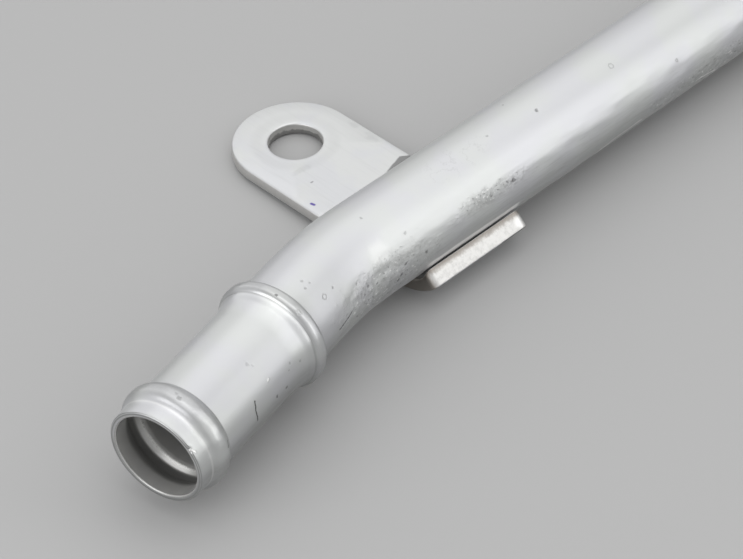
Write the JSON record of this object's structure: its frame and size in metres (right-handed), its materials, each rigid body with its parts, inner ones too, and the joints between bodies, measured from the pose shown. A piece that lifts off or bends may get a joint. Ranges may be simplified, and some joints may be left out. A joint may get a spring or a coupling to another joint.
{
  "type": "engine coolant pipe",
  "caption": "Aluminium engine coolant pipe with a shallow bend, rolled hose beads at both mouths and a stamped bracket brazed underneath, its tab ending in a bolt hole.",
  "frame": {"origin": "centre of the bolt hole at the bracket's seat, its lower flat face", "axes": "+Z along the bolt hole, from the seat towards the bolt's head; +X along the long straight run, away from the bend; +Y from the pipe towards the bracket's tip"},
  "size_m": [0.1786, 0.0611, 0.0194],
  "materials": {
    "tube_aluminium": "satin, drawn tube, handled and scratched",
    "strip_aluminium": "satin, stamped strip",
    "braze_filler": "matt, as brazed"
  },
  "bodies": {
    "root": {"pipe": "tube_aluminium", "bracket": "strip_aluminium", "braze": "braze_filler"}
  },
  "joints": []
}
